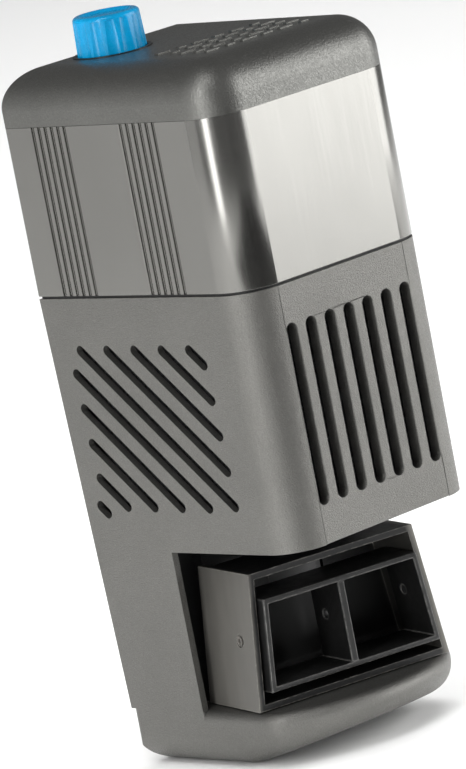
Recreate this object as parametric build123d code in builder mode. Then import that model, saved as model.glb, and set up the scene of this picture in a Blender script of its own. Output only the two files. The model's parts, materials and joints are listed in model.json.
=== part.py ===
"""Submersible aquarium pump with a foam chamber, an air valve and a swivelling outlet.

Millimetres, +Z up.  The origin is the centre of the flat patch that the pump stands on,
below the middle of the casing.  The grille and the outlet face -Y.
"""
import os
from math import atan2, cos, degrees, radians, sin, tan

from build123d import *

os.makedirs("parts", exist_ok=True)

# ---------------------------------------------------------------- driving dimensions
WIDTH = 80.0                 # casing, across X
DEPTH = 94.0                 # casing, along Y at the head
BASE_H = 18.2                # base cover
SEAM_Z = 150.8               # top rim of the casing
HEAD_GAP = 0.8               # dark joint between casing and head
LID_Z = 205.3                # joint between head shell and lid
TOP_Z = 222.4                # top of the lid
BACK_LEAN = 2.2              # degrees the casing's back leans forward going down
FRONT_CORNER = 13.0
BACK_CORNER = 3.0
MIN_CORNER = 0.6
WALL = 2.4                   # casing and base walls
HEAD_WALL = 2.2
LID_ROUND = 12.0             # bull-nose round of the lid

FRONT_Y = -DEPTH / 2
BACK_Y = DEPTH / 2

# clearances, each the gap on one side
FIXED_FIT = 0.1              # fastened pieces
LOOSE_FIT = 0.3              # lift-off pieces and swivels
RUNNING_FIT = 0.05           # shafts and pins in their holes

# front grille
GRILLE_W = 54.8
GRILLE_LIP = 1.4             # the grille's hidden flange, past the opening
GRILLE_LIP_T = 1.4
GRILLE_SET = 0.25            # gap between the flange and the casing's front wall
SLOT_COUNT = 7
SLOT_W = 4.5
SLOT_PITCH = 8.3
SLOT_LOW_Z = 81.7
SLOT_HIGH_Z = SEAM_Z - 12.2
GRILLE_STOP = 8.0            # the flange ends this far under the rim

# diagonal side slots
VENT_COUNT = 10
VENT_W = 3.4
VENT_PITCH = 12.28           # along Y
VENT_SLOPE = 0.88            # rise per unit towards the back
VENT_HIGH_Z = SEAM_Z - 16.7
VENT_LOW_Z = 84.2
VENT_FRONT_Y = -21.4
VENT_BACK_Y = 36.8
VENT_FIRST_Y = -16.4

# grip ribs on the head
RIB_GROUPS_Y = (-12.4, 27.5)
RIB_COUNT = 6
RIB_PITCH = 2.9
RIB_GROOVE_W = 1.25
RIB_DEPTH = 0.7

# recess for the outlet
RECESS_TOP_Z = 69.7
RECESS_EDGE_Y = 9.2          # where the casing's sides are cut back to
PARTITION_Y = 14.5           # front face of the wall behind the outlet
POCKET_X = 23.5              # the recess runs deeper outside this, for the box's cheeks
POCKET_Y = 18.2
PORT_W = 14.0
PORT_H = 8.8

# base cover
TOE_SIDE_Y = -21.0           # where the bowed toe starts
TOE_FRONT_Y = -40.0
TOE_CORNER = 10.0
KEEL_FLAT_Y = -4.0           # the sole is flat behind this
KEEL_SLOPE = 16.0            # degrees that the sole rises towards the toe
KEEL_R = 20.0
SOLE_ROUND = 10.0
LIP_ROUND = 3.2
RIM_H = 5.0                  # square rim behind the lip, flush with the casing
SHELF_HOLLOW_Y = -12.0       # the base is hollow under the shelf as far forward as this
SHELF_HOLLOW_H = 7.0
SCREW_X = 30.5
SCREW_YS = (24.4, 34.6)
SCREW_R = 1.4
SCREW_HEAD_R = 3.0
SCREW_HEAD_Z = 9.0
SCREW_HEAD_H = 2.2
SCREW_TOP_Z = 31.0
BOSS_R = 3.5
BOSS_OVER = 3.0              # boss above the end of the screw
HOLE_OVER = 1.0              # screw hole above the end of the screw

# swivelling outlet
YAW_REST = 14.0              # degrees that the outlet looks towards -X at rest
YAW_Y = -3.0
BOX_FRONT = 22.0             # front of the box, ahead of the swivel axis
BOX_DEPTH = 26.0             # front of the box to the back of its rear wall
CHEEK_DEPTH = 31.0           # front of the box to the back of its side walls
BOX_TOP_W = 60.2
BOX_BOTTOM_W = 70.0
BOX_LOW_Z = BASE_H + 0.45
BOX_HIGH_Z = 61.5
BOX_WALL = 2.0
PIVOT_R = 8.0
NECK_R = 12.0
FOOT_PIVOT_R = 6.0
FOOT_PIVOT_H = 3.6
INLET_W = 20.0
INLET_H = 12.0
INLET_Z = 51.0

# nozzle
NOZZLE_PROUD = 3.2
NOZZLE_DEPTH = 19.0
NOZZLE_TOP_W = 56.4
NOZZLE_BOTTOM_W = 62.2
NOZZLE_LOW_Z = 24.2
NOZZLE_HIGH_Z = 53.3
NOZZLE_WALL = 1.7
DIVIDER_T = 2.4
RIM_STEP = 0.45
PIN_SETBACK = 8.6            # pin axis behind the front of the box
PIN_Z = 40.2
PIN_R = 1.5
PIN_RING = 0.7               # shallow ring round each pin's outer end
PIN_RING_DEPTH = 0.4
PIN_PROUD = 0.15
PIN_SHORT = 0.2              # each pin stops this far inside the nozzle's wall
PIN_DIMPLE_R = 0.8
PIN_DIMPLE_DEPTH = 0.5

# knob and air valve
KNOB_X = -11.0
KNOB_Y = 23.7
KNOB_R = 11.0
KNOB_TAPER = 0.5
KNOB_H = 13.6
KNOB_ROUND = 1.5
KNOB_DISH = 0.9
FLUTES = 14
FLUTE_DEPTH = 0.75
FLUTE_R = 4.2
WELL_DEPTH = 2.5
WELL_MARGIN = 1.6
COLLAR_T = 1.0
SPINDLE_R = 3.0
SPINDLE_LOW_Z = 206.0
VALVE_R = 7.0
VALVE_FLANGE_R = 10.5
VALVE_FLANGE_T = 2.4
VALVE_NECK_R = 5.0
VALVE_LOW_Z = 188.0
PLUG_R = 2.2
PLUG_SEAT = 4.0              # plug chamber's floor above the bottom of the body
AIR_INLET_RISE = 4.4         # side inlet above the chamber's floor
ORIFICE_R = 1.2
TUBE_R = 3.0
TUBE_BORE_R = 1.6
SOCKET_R = 5.0
SOCKET_Z = SEAM_Z - 14.8
SOCKET_H = 12.0
TUBE_GAP = 2.0               # end of the drop tube above the bottom of its socket
ORING_R = 0.7

# foam and its tray
TRAY_T = 2.0
TRAY_SLOT_W = 5.0
TRAY_SLOT_PITCH = 9.0
TRAY_SLOTS = 7
FOAM_GAP = 0.6
FOAM_HIGH_Z = SEAM_Z - 8.8

# pump
MOTOR_Y = 28.5
MOTOR_W = 2 * (POCKET_X - WALL - LOOSE_FIT)
MOTOR_D = 21.0
MOTOR_LOW_Z = 18.9
MOTOR_HIGH_Z = 57.0
MOTOR_WALL = 1.8
CAP_T = 1.6
WELL_R = 6.8
WELL_WALL = 1.2
WELL_LOW_Z = 38.0
CORE_T = 12.0                # lamination stack
LEG_IN_X = 9.0
LEG_OUT_X = 16.0
YOKE_LOW_Z = 22.0
YOKE_HIGH_Z = 28.0
LEG_HIGH_Z = 53.5
COIL_T = 2.3
COIL_H = 7.6
SHAFT_R = 1.25
MAGNET_R = 6.2
MAGNET_H = 15.0
BUSH_R = 3.2
BUSH_H = 1.6
IMPELLER_R = 8.4
BLADE_COUNT = 6
BLADE_T = 1.1
BLADE_H = 6.0
HUB_R = 2.6
VOLUTE_R = 11.6
VOLUTE_WALL = 1.3
VOLUTE_H = 11.4
EYE_R = 5.6
COVER_T = 1.8
SPOKE_W = 1.4
SPOKES = 3

# back fittings
CUP_XS = (-21.5, 21.5)
CUP_ZS = (84.0, SEAM_Z - 16.8)
CUP_R = 9.0
CUP_H = 6.6
CUP_LIP = 0.8
CUP_SKIN = 1.7
CUP_HEAD_T = 1.0
CUP_STUD_R = 2.6
CUP_HEAD_R = 3.8
CUP_COLLAR = 1.0             # collar past the stud, against the wall
CUP_WAIST = 0.68             # radius half way up the cup, as a share of its rim
GLAND_X = 26.0
GLAND_Z = 44.0
GLAND_R = 5.0
GLAND_BORE_R = 2.6
GLAND_L = 7.0
GLAND_FLANGE_R = 7.0
GLAND_FLANGE_T = 1.4
GLAND_STAND = 0.35           # flange off the leaning back

# raised dashes on the lid
DASH_ROWS = 5
DASH_ROW_PITCH = 5.4
DASH_FIRST_Y = -30.0
DASHES_PER_ROW = 6
DASH_PITCH = 8.0
DASH_LENGTHS = (5.4, 3.2, 6.2, 4.2)
DASH_SHIFT = 3               # steps that the lengths move on from row to row
DASH_H = 0.5
DASH_W = 1.5

# head shell and lid joints
PLUG_H = 6.0
PLUG_WALL = 1.6
HEAD_STEP_H = 1.6
GASKET_INSET = 0.7
LID_LIP_H = 3.0
LID_LIP_T = 1.6
COLLAR_PROUD = 0.3

LID_FLOOR_Z = TOP_Z - WELL_DEPTH
well_r = KNOB_R + WELL_MARGIN
screw_spots = [(side * SCREW_X, y) for side in (-1, 1) for y in SCREW_YS]
ROTOR_LOW_Z = WELL_LOW_Z + BUSH_H
MAGNET_HIGH_Z = ROTOR_LOW_Z + MAGNET_H
VOLUTE_LOW_Z = MOTOR_HIGH_Z
VOLUTE_HIGH_Z = VOLUTE_LOW_Z + VOLUTE_H
COVER_HIGH_Z = VOLUTE_HIGH_Z + COVER_T
TRAY_LOW_Z = RECESS_TOP_Z + WALL + FIXED_FIT
EPS = 0.01
BEYOND = 5.0                 # how far cutting shapes run past a face
PAST = 1.0                   # the same for cuts with little room


# ---------------------------------------------------------------- shared outlines
def back_y(z):
    """Back face of the body at height z."""
    return BACK_Y - max(0.0, SEAM_Z - z) * tan(radians(BACK_LEAN))


def body_plan(z, inset=0.0, front=None):
    """Rounded plan of the body at height z, moved in by inset."""
    back = back_y(z) - inset
    near = FRONT_Y + inset if front is None else front
    with BuildSketch(Plane.XY.offset(z), mode=Mode.PRIVATE) as plan:
        with Locations((0, (near + back) / 2)):
            Rectangle(WIDTH - 2 * inset, back - near)
        rows = plan.vertices().group_by(Axis.Y)
        front_round = FRONT_CORNER - inset if front is None else MIN_CORNER
        fillet(rows[0], max(front_round, MIN_CORNER))
        fillet(rows[-1], max(BACK_CORNER - inset, MIN_CORNER))
    return plan.sketch


def save(part, name):
    """Label one finished piece and write it."""
    part.label = name
    export_step(part, f"parts/{name}.step")


def width_at(z, low_z, low_w, high_z, high_w):
    """Width of a tapering box at height z."""
    return low_w + (high_w - low_w) * (z - low_z) / (high_z - low_z)


# ---------------------------------------------------------------- casing
def vent_ends(index):
    """Lower front and upper back end of one diagonal slot, as (y, z)."""
    lean = tan(radians(BACK_LEAN))
    per_fall = 1 / VENT_SLOPE - lean
    start_y = VENT_FIRST_Y + VENT_PITCH * index
    height = VENT_HIGH_Z - VENT_LOW_Z
    low = min(height, (start_y - VENT_FRONT_Y) / per_fall)
    high = max(0.0, (start_y - VENT_BACK_Y) / per_fall)
    return [(start_y - fall / VENT_SLOPE, VENT_HIGH_Z - fall) for fall in (low, high)]


casing_ceiling_z = RECESS_TOP_Z + WALL
with BuildPart() as casing:
    loft(sections=[body_plan(BASE_H), body_plan(SEAM_Z)], ruled=True)
    # a plain tube, open at both ends
    loft(
        sections=[body_plan(BASE_H - BEYOND, WALL), body_plan(SEAM_Z + BEYOND, WALL)],
        ruled=True,
        mode=Mode.SUBTRACT,
    )
    # recess that the outlet swivels in
    with BuildSketch(Plane.XY.offset(BASE_H - EPS)):
        with Locations((0, (FRONT_Y - BEYOND + RECESS_EDGE_Y) / 2)):
            Rectangle(WIDTH + 2 * BEYOND, RECESS_EDGE_Y - FRONT_Y + BEYOND)
    extrude(amount=RECESS_TOP_Z - BASE_H + EPS, mode=Mode.SUBTRACT)
    # opening for the front grille
    with BuildSketch(Plane.XY.offset(RECESS_TOP_Z - EPS)):
        with Locations((0, FRONT_Y)):
            Rectangle(GRILLE_W + 2 * FIXED_FIT, 2 * WALL + EPS)
    extrude(amount=SEAM_Z - RECESS_TOP_Z + BEYOND, mode=Mode.SUBTRACT)
    # diagonal slots in both sides
    for side in (-1, 1):
        plane = Plane(origin=(side * WIDTH / 2, 0, 0), x_dir=(0, 1, 0), z_dir=(1, 0, 0))
        for index in range(VENT_COUNT):
            low, high = vent_ends(index)
            middle = ((low[0] + high[0]) / 2, (low[1] + high[1]) / 2)
            run = ((high[0] - low[0]) ** 2 + (high[1] - low[1]) ** 2) ** 0.5
            with BuildSketch(plane):
                with Locations(Location(middle, degrees(atan2(VENT_SLOPE, 1)))):
                    SlotCenterToCenter(run, VENT_W)
            extrude(amount=WALL + EPS, both=True, mode=Mode.SUBTRACT)
    # bosses for the base screws
    with BuildSketch(Plane.XY.offset(BASE_H)):
        with Locations(screw_spots):
            Circle(BOSS_R)
        with Locations([(s * (SCREW_X + WIDTH / 2 - WALL) / 2, y) for s in (-1, 1) for y in SCREW_YS]):
            Rectangle(WIDTH / 2 - WALL - SCREW_X + PAST, WALL)
    extrude(amount=SCREW_TOP_Z + BOSS_OVER - BASE_H)
    with BuildSketch(Plane.XY.offset(BASE_H)):
        with Locations(screw_spots):
            Circle(SCREW_R + RUNNING_FIT)
    extrude(amount=SCREW_TOP_Z + HOLE_OVER - BASE_H, mode=Mode.SUBTRACT)
    # holes in the back for the suction cups and the cable gland
    for z in CUP_ZS:
        with BuildSketch(Plane.XZ.offset(-(back_y(z) - WALL - PAST))):
            with Locations([(x, z) for x in CUP_XS]):
                Circle(CUP_STUD_R + RUNNING_FIT)
        extrude(amount=-(WALL + 2 * PAST), mode=Mode.SUBTRACT)
    with BuildSketch(Plane.XZ.offset(-(back_y(GLAND_Z) - WALL - PAST))):
        with Locations((GLAND_X, GLAND_Z)):
            Circle(GLAND_R + RUNNING_FIT)
    extrude(amount=-(WALL + 2 * PAST), mode=Mode.SUBTRACT)
save(casing.part, "casing")

# inner moulding: the ceiling over the outlet and the partition behind it
floor_inset = WALL + FIXED_FIT
cheek_wall_x = (POCKET_X - WALL + WIDTH / 2 - floor_inset) / 2
port_z = VOLUTE_LOW_Z + VOLUTE_WALL + PORT_H / 2
with BuildPart() as chamber_floor:
    extrude(body_plan(RECESS_TOP_Z, floor_inset), amount=WALL)
    with BuildSketch(Plane.XY.offset(RECESS_TOP_Z - EPS)):
        with Locations((0, PARTITION_Y + WALL + BACK_Y / 2)):
            Rectangle(WIDTH, BACK_Y)
    extrude(amount=WALL + 2 * EPS, mode=Mode.SUBTRACT)
    # partition, set further back at both sides
    with BuildSketch(Plane.XY.offset(BASE_H)):
        with Locations((0, PARTITION_Y + WALL / 2)):
            Rectangle(2 * POCKET_X, WALL)
        with Locations([(side * cheek_wall_x, (PARTITION_Y + POCKET_Y + WALL) / 2) for side in (-1, 1)]):
            Rectangle(WIDTH / 2 - floor_inset - POCKET_X + WALL, POCKET_Y - PARTITION_Y + WALL)
    extrude(amount=casing_ceiling_z - BASE_H)
    # side pockets that the outlet's cheeks swing into
    with BuildSketch(Plane.XY.offset(BASE_H - EPS)):
        with Locations([(side * (POCKET_X + WIDTH) / 2, (PARTITION_Y + POCKET_Y) / 2) for side in (-1, 1)]):
            Rectangle(WIDTH - POCKET_X, POCKET_Y - PARTITION_Y)
    extrude(amount=RECESS_TOP_Z - BASE_H + EPS, mode=Mode.SUBTRACT)
    # swivel bore in the ceiling
    with BuildSketch(Plane.XY.offset(RECESS_TOP_Z - EPS)):
        with Locations((0, YAW_Y)):
            Circle(PIVOT_R + RUNNING_FIT)
    extrude(amount=WALL + 2 * EPS, mode=Mode.SUBTRACT)
    # water port in the partition
    with BuildSketch(Plane.XZ.offset(-(PARTITION_Y - EPS))):
        with Locations((0, port_z)):
            Rectangle(PORT_W + 2 * (VOLUTE_WALL + FIXED_FIT), PORT_H + 2 * (VOLUTE_WALL + FIXED_FIT))
    extrude(amount=-(WALL + 2 * EPS), mode=Mode.SUBTRACT)
save(chamber_floor.part, "chamber_floor")

# front grille: a flat slotted panel with a hidden flange behind the casing's front wall
grille_low_z = RECESS_TOP_Z + FIXED_FIT
with BuildPart() as front_grille:
    with BuildSketch(Plane.XY.offset(grille_low_z)):
        with Locations((0, FRONT_Y + WALL / 2)):
            Rectangle(GRILLE_W, WALL)
    extrude(amount=SEAM_Z - grille_low_z)
    with BuildSketch(Plane.XY.offset(casing_ceiling_z + FIXED_FIT)):
        with Locations((0, FRONT_Y + WALL + GRILLE_SET + GRILLE_LIP_T / 2)):
            Rectangle(GRILLE_W + 2 * GRILLE_LIP, GRILLE_LIP_T)
        with Locations((0, FRONT_Y + WALL + GRILLE_SET / 2)):
            Rectangle(GRILLE_W, GRILLE_SET + 2 * EPS)
    extrude(amount=SEAM_Z - GRILLE_STOP - casing_ceiling_z)
    with BuildSketch(Plane.XZ.offset(-(FRONT_Y - EPS))):
        with GridLocations(SLOT_PITCH, 1, SLOT_COUNT, 1):
            with Locations((0, (SLOT_LOW_Z + SLOT_HIGH_Z) / 2)):
                SlotOverall(SLOT_HIGH_Z - SLOT_LOW_Z, SLOT_W, rotation=90)
    extrude(amount=-(WALL + GRILLE_LIP_T + PAST), mode=Mode.SUBTRACT)
save(front_grille.part, "front_grille")

# ---------------------------------------------------------------- base cover and screws
with BuildPart() as base_cover:
    # side profile: flat sole that rises in a long arc to the toe
    keel_rise = (KEEL_FLAT_Y - TOE_FRONT_Y) * tan(radians(KEEL_SLOPE))
    with BuildSketch(Plane.YZ):
        with BuildLine():
            FilletPolyline(
                (back_y(BASE_H), 0),
                (KEEL_FLAT_Y, 0),
                (TOE_FRONT_Y, keel_rise),
                radius=KEEL_R,
            )
            Polyline(
                (TOE_FRONT_Y, keel_rise),
                (TOE_FRONT_Y, BASE_H),
                (back_y(BASE_H), BASE_H),
                (back_y(BASE_H), 0),
            )
        make_face()
    extrude(amount=WIDTH / 2, both=True)
    # plan: straight sides and a bowed front
    with BuildSketch(Plane.XY) as base_plan:
        with BuildLine():
            ThreePointArc((-WIDTH / 2, TOE_SIDE_Y), (0, TOE_FRONT_Y), (WIDTH / 2, TOE_SIDE_Y))
            Polyline(
                (WIDTH / 2, TOE_SIDE_Y),
                (WIDTH / 2, back_y(BASE_H)),
                (-WIDTH / 2, back_y(BASE_H)),
                (-WIDTH / 2, TOE_SIDE_Y),
            )
        make_face()
        fillet(base_plan.vertices().group_by(Axis.Y)[0], TOE_CORNER)
    extrude(amount=BASE_H, mode=Mode.INTERSECT)
    lower_edges = base_cover.edges().filter_by(lambda e: e.bounding_box().max.Z < BASE_H - EPS)
    fillet(lower_edges, SOLE_ROUND)
    lip_edges = base_cover.faces().sort_by(Axis.Z)[-1].edges().filter_by(
        lambda e: e.bounding_box().max.Y < TOE_SIDE_Y + TOE_CORNER
    )
    fillet(lip_edges, LIP_ROUND)
    # square rim behind the lip, under the casing's walls
    extrude(body_plan(BASE_H - RIM_H, 0, RECESS_EDGE_Y), amount=RIM_H)
    # upright back corners rounded like the casing's
    with BuildSketch(Plane.XY) as corners:
        with Locations((0, (FRONT_Y + back_y(BASE_H)) / 2)):
            Rectangle(WIDTH, back_y(BASE_H) - FRONT_Y)
        fillet(corners.vertices().group_by(Axis.Y)[-1], BACK_CORNER)
    extrude(amount=BASE_H, mode=Mode.INTERSECT)
    # hollow under the pump compartment, with a post for each screw
    with BuildSketch(Plane.XY.offset(WALL)):
        with Locations((0, (PARTITION_Y + back_y(BASE_H) - WALL) / 2)):
            Rectangle(WIDTH - 2 * SOLE_ROUND, back_y(BASE_H) - WALL - PARTITION_Y)
    extrude(amount=BASE_H, mode=Mode.SUBTRACT)
    with BuildSketch(Plane.XY.offset(2 * WALL)):
        with Locations((0, (SHELF_HOLLOW_Y + PARTITION_Y + PAST) / 2)):
            Rectangle(WIDTH - 2 * SOLE_ROUND - WALL, PARTITION_Y + PAST - SHELF_HOLLOW_Y)
    extrude(amount=SHELF_HOLLOW_H, mode=Mode.SUBTRACT)
    with BuildSketch(Plane.XY.offset(WALL)):
        with Locations(screw_spots):
            Circle(SCREW_HEAD_R + WALL)
    extrude(amount=BASE_H - WALL)
    with BuildSketch(Plane.XY.offset(-EPS)):
        with Locations(screw_spots):
            Circle(SCREW_HEAD_R + LOOSE_FIT)
    extrude(amount=SCREW_HEAD_Z + EPS, mode=Mode.SUBTRACT)
    with BuildSketch(Plane.XY):
        with Locations(screw_spots):
            Circle(SCREW_R + FIXED_FIT)
    extrude(amount=BASE_H + EPS, mode=Mode.SUBTRACT)
    # blind bore for the outlet's foot pivot
    with BuildSketch(Plane.XY.offset(BASE_H + EPS)):
        with Locations((0, YAW_Y)):
            Circle(FOOT_PIVOT_R + RUNNING_FIT)
    extrude(amount=-(FOOT_PIVOT_H + LOOSE_FIT), mode=Mode.SUBTRACT)
save(base_cover.part, "base_cover")

with BuildPart() as base_screws:
    with BuildSketch(Plane.XY.offset(SCREW_HEAD_Z - SCREW_HEAD_H)):
        with Locations(screw_spots):
            Circle(SCREW_HEAD_R)
    extrude(amount=SCREW_HEAD_H)
    with BuildSketch(Plane.XY.offset(SCREW_HEAD_Z)):
        with Locations(screw_spots):
            Circle(SCREW_R)
    extrude(amount=SCREW_TOP_Z - SCREW_HEAD_Z)
    # cross slot in each head
    with BuildSketch(Plane.XY.offset(SCREW_HEAD_Z - SCREW_HEAD_H)):
        with Locations(screw_spots):
            Rectangle(SCREW_HEAD_R, SCREW_R / 2)
            Rectangle(SCREW_R / 2, SCREW_HEAD_R)
    extrude(amount=SCREW_HEAD_H / 2, mode=Mode.SUBTRACT)
save(base_screws.part, "base_screws")

# ---------------------------------------------------------------- swivelling outlet box
swivel = Plane(
    origin=(0, YAW_Y, 0),
    x_dir=(cos(radians(YAW_REST)), -sin(radians(YAW_REST)), 0),
    z_dir=(0, 0, 1),
)
swivel_front = Plane(origin=swivel.origin, x_dir=swivel.x_dir, z_dir=-swivel.y_dir)
swivel_side = Plane(origin=swivel.origin, x_dir=swivel.y_dir, z_dir=swivel.x_dir)


def swivel_plan(z, front, back, width):
    """Rectangle on the swivel plane at height z."""
    with BuildSketch(swivel.offset(z), mode=Mode.PRIVATE) as plan:
        with Locations((0, (front + back) / 2)):
            Rectangle(width, back - front)
    return plan.sketch


def box_width(z):
    """Outer width of the outlet box at height z."""
    return width_at(z, BOX_LOW_Z, BOX_BOTTOM_W, BOX_HIGH_Z, BOX_TOP_W)


def nozzle_width(z):
    """Outer width of the nozzle at height z."""
    return width_at(z, NOZZLE_LOW_Z, NOZZLE_BOTTOM_W, NOZZLE_HIGH_Z, NOZZLE_TOP_W)


def box_section(z, front, back, inset=0.0):
    """Plan of the outlet box at height z, between two distances behind its front."""
    return swivel_plan(z, front - BOX_FRONT, back - BOX_FRONT, box_width(z) - 2 * inset)


def nozzle_section(z, inset=0.0, reach=0.0):
    """Plan of the nozzle at height z; reach carries both ends further out."""
    front = -BOX_FRONT - NOZZLE_PROUD
    return swivel_plan(z, front - reach, front + NOZZLE_DEPTH + reach, nozzle_width(z) - 2 * inset)


pin_y = -BOX_FRONT + PIN_SETBACK
with BuildPart() as outlet_box:
    loft(
        sections=[
            box_section(BOX_LOW_Z, 0, CHEEK_DEPTH),
            box_section(BOX_HIGH_Z, 0, CHEEK_DEPTH),
        ],
        ruled=True,
    )
    box_floor_z = BOX_LOW_Z + BOX_WALL
    box_roof_z = BOX_HIGH_Z - BOX_WALL
    rear_wall = BOX_DEPTH - BOX_WALL
    loft(
        sections=[box_section(z, -BEYOND, rear_wall, BOX_WALL) for z in (box_floor_z, box_roof_z)],
        ruled=True,
        mode=Mode.SUBTRACT,
    )
    # open space between the cheeks, behind the rear wall
    loft(
        sections=[
            box_section(z, BOX_DEPTH, CHEEK_DEPTH + BEYOND, BOX_WALL)
            for z in (BOX_LOW_Z - EPS, BOX_HIGH_Z + EPS)
        ],
        ruled=True,
        mode=Mode.SUBTRACT,
    )
    # water inlet in the back
    with BuildSketch(swivel_front.offset(-(BOX_DEPTH - BOX_FRONT - BOX_WALL - PAST))):
        with Locations((0, INLET_Z)):
            RectangleRounded(INLET_W, INLET_H, BOX_WALL)
    extrude(amount=-(BOX_WALL + 2 * PAST), mode=Mode.SUBTRACT)
    # neck and pivot above, foot pivot below
    with BuildSketch(swivel.offset(BOX_HIGH_Z)):
        Circle(NECK_R)
    extrude(amount=RECESS_TOP_Z - LOOSE_FIT - BOX_HIGH_Z)
    with BuildSketch(swivel.offset(RECESS_TOP_Z - LOOSE_FIT)):
        Circle(PIVOT_R)
    extrude(amount=WALL)
    with BuildSketch(swivel.offset(BOX_LOW_Z)):
        Circle(FOOT_PIVOT_R)
    extrude(amount=-(FOOT_PIVOT_H + BOX_LOW_Z - BASE_H))
    # pin holes through both sides, each with a shallow ring sunk round its mouth
    with BuildSketch(swivel_side):
        with Locations((pin_y, PIN_Z)):
            Circle(PIN_R)
    extrude(amount=BOX_BOTTOM_W, both=True, mode=Mode.SUBTRACT)
    for side in (-1, 1):
        with BuildSketch(swivel_side.offset(side * (box_width(PIN_Z) / 2 - PIN_RING_DEPTH))):
            with Locations((pin_y, PIN_Z)):
                Circle(PIN_R + PIN_RING)
        extrude(amount=side * BEYOND, mode=Mode.SUBTRACT)
save(outlet_box.part, "outlet_box")

with BuildPart() as nozzle_pins:
    pin_outer = box_width(PIN_Z) / 2 + PIN_PROUD
    pin_inner = nozzle_width(PIN_Z) / 2 - NOZZLE_WALL + PIN_SHORT
    for side in (-1, 1):
        with BuildSketch(swivel_side.offset(side * pin_inner)):
            with Locations((pin_y, PIN_Z)):
                Circle(PIN_R)
        extrude(amount=side * (pin_outer - pin_inner))
        with BuildSketch(swivel_side.offset(side * (pin_outer - PIN_DIMPLE_DEPTH))):
            with Locations((pin_y, PIN_Z)):
                Circle(PIN_DIMPLE_R)
        extrude(amount=side * PAST, mode=Mode.SUBTRACT)
save(nozzle_pins.part, "nozzle_pins")

# ---------------------------------------------------------------- tilting nozzle
with BuildPart() as nozzle:
    loft(sections=[nozzle_section(NOZZLE_LOW_Z), nozzle_section(NOZZLE_HIGH_Z)], ruled=True)
    loft(
        sections=[
            nozzle_section(NOZZLE_LOW_Z + NOZZLE_WALL, NOZZLE_WALL, BEYOND),
            nozzle_section(NOZZLE_HIGH_Z - NOZZLE_WALL, NOZZLE_WALL, BEYOND),
        ],
        ruled=True,
        mode=Mode.SUBTRACT,
    )
    # the outer edge of the mouth is cut back a little
    mouth = nozzle.faces().sort_by(lambda f: swivel.to_local_coords(f.center()).Y)[0]
    chamfer(mouth.outer_wire().edges(), RIM_STEP)
    # divider between the two channels
    with BuildSketch(swivel.offset(NOZZLE_LOW_Z + NOZZLE_WALL / 2)):
        with Locations((0, -BOX_FRONT - NOZZLE_PROUD + NOZZLE_DEPTH / 2)):
            Rectangle(DIVIDER_T, NOZZLE_DEPTH - 2 * RIM_STEP)
    extrude(amount=NOZZLE_HIGH_Z - NOZZLE_LOW_Z - NOZZLE_WALL)
    with BuildSketch(swivel_side):
        with Locations((pin_y, PIN_Z)):
            Circle(PIN_R + RUNNING_FIT)
    extrude(amount=BOX_BOTTOM_W, both=True, mode=Mode.SUBTRACT)
save(nozzle.part, "nozzle")

# ---------------------------------------------------------------- head shell and gasket
head_low_z = SEAM_Z + HEAD_GAP
plug_inset = WALL + LOOSE_FIT
plug_low_z = SEAM_Z - PLUG_H
with BuildPart() as head_shell:
    extrude(body_plan(head_low_z), amount=LID_Z - head_low_z)
    extrude(
        body_plan(head_low_z + HEAD_STEP_H, plug_inset + PLUG_WALL),
        amount=LID_Z,
        mode=Mode.SUBTRACT,
    )
    extrude(
        body_plan(head_low_z + 2 * HEAD_STEP_H, HEAD_WALL),
        amount=LID_Z,
        mode=Mode.SUBTRACT,
    )
    # plug that drops into the casing's mouth
    extrude(body_plan(plug_low_z, plug_inset), amount=head_low_z - plug_low_z)
    extrude(
        body_plan(plug_low_z - EPS, plug_inset + PLUG_WALL),
        amount=head_low_z + HEAD_STEP_H,
        mode=Mode.SUBTRACT,
    )
    # grip ribs: groups of upright grooves on both sides
    for side in (-1, 1):
        with BuildSketch(Plane.XY.offset(head_low_z - EPS)):
            for group_y in RIB_GROUPS_Y:
                with Locations((side * WIDTH / 2, group_y)):
                    with GridLocations(1, RIB_PITCH, 1, RIB_COUNT):
                        Rectangle(2 * RIB_DEPTH, RIB_GROOVE_W)
        extrude(amount=LID_Z - head_low_z + 2 * EPS, mode=Mode.SUBTRACT)
save(head_shell.part, "head_shell")

with BuildPart() as head_gasket:
    extrude(body_plan(SEAM_Z + FIXED_FIT / 2, GASKET_INSET), amount=HEAD_GAP - FIXED_FIT)
    extrude(
        body_plan(SEAM_Z - EPS, plug_inset - FIXED_FIT),
        amount=HEAD_GAP + 2 * EPS,
        mode=Mode.SUBTRACT,
    )
save(head_gasket.part, "head_gasket")

# ---------------------------------------------------------------- lid
lip_inset = HEAD_WALL + FIXED_FIT
with BuildPart() as lid_core:
    extrude(body_plan(LID_Z - EPS, HEAD_WALL), amount=TOP_Z - HEAD_WALL - LID_Z)
    fillet(lid_core.faces().sort_by(Axis.Z)[-1].edges(), LID_ROUND - HEAD_WALL)

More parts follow.
